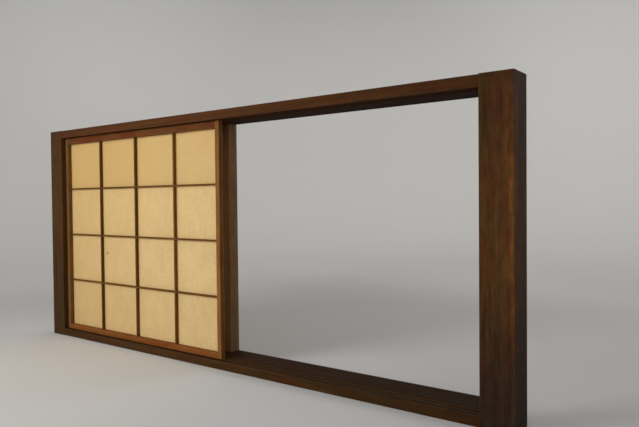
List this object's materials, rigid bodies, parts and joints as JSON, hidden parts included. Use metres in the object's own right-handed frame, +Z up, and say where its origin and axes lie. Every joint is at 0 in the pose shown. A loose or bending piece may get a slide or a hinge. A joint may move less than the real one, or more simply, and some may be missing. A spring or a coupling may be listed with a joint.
{
  "type": "shoji sliding screen",
  "caption": "Shoji screen: a wooden lattice leaf with paper on its back slides in the grooves of a sill and a head rail, between two posts and in front of a window opening.",
  "frame": {"origin": "middle of the frame's footprint, on the surface that it stands on", "axes": "+X to the right along the wall as seen from the room, +Y from the room into the wall, +Z up"},
  "size_m": [3.383, 0.262, 1.45],
  "materials": {
    "post_timber": "dark stained, worn satin",
    "rail_timber": "dark stained, worn satin",
    "jamb_timber": "dark stained, matt",
    "wear_strip_timber": "polished by use",
    "leaf_timber": "reddish-brown stain, satin",
    "kumiko_timber": "brown stain, satin",
    "paper": "fibrous, matt, aged cream"
  },
  "bodies": {
    "frame": {"sill_rail": "rail_timber", "head_rail": "rail_timber", "left_post": "post_timber", "right_post": "post_timber", "left_jamb": "jamb_timber", "right_jamb": "jamb_timber", "front_wear_strip": "wear_strip_timber", "rear_wear_strip": "wear_strip_timber"},
    "shoji": {"left_stile": "leaf_timber", "right_stile": "leaf_timber", "top_rail": "leaf_timber", "bottom_rail": "leaf_timber", "vertical_kumiko_1": "kumiko_timber", "vertical_kumiko_2": "kumiko_timber", "vertical_kumiko_3": "kumiko_timber", "horizontal_kumiko_1": "kumiko_timber", "horizontal_kumiko_2": "kumiko_timber", "horizontal_kumiko_3": "kumiko_timber", "paper_strip_1": "paper", "paper_strip_2": "paper", "paper_strip_3": "paper", "paper_strip_4": "paper"}
  },
  "joints": [
    {"name": "shoji_slide", "type": "slide", "parent": "frame", "child": "shoji", "axis": [1, 0, 0], "range_m": [0, 1.5454]}
  ]
}
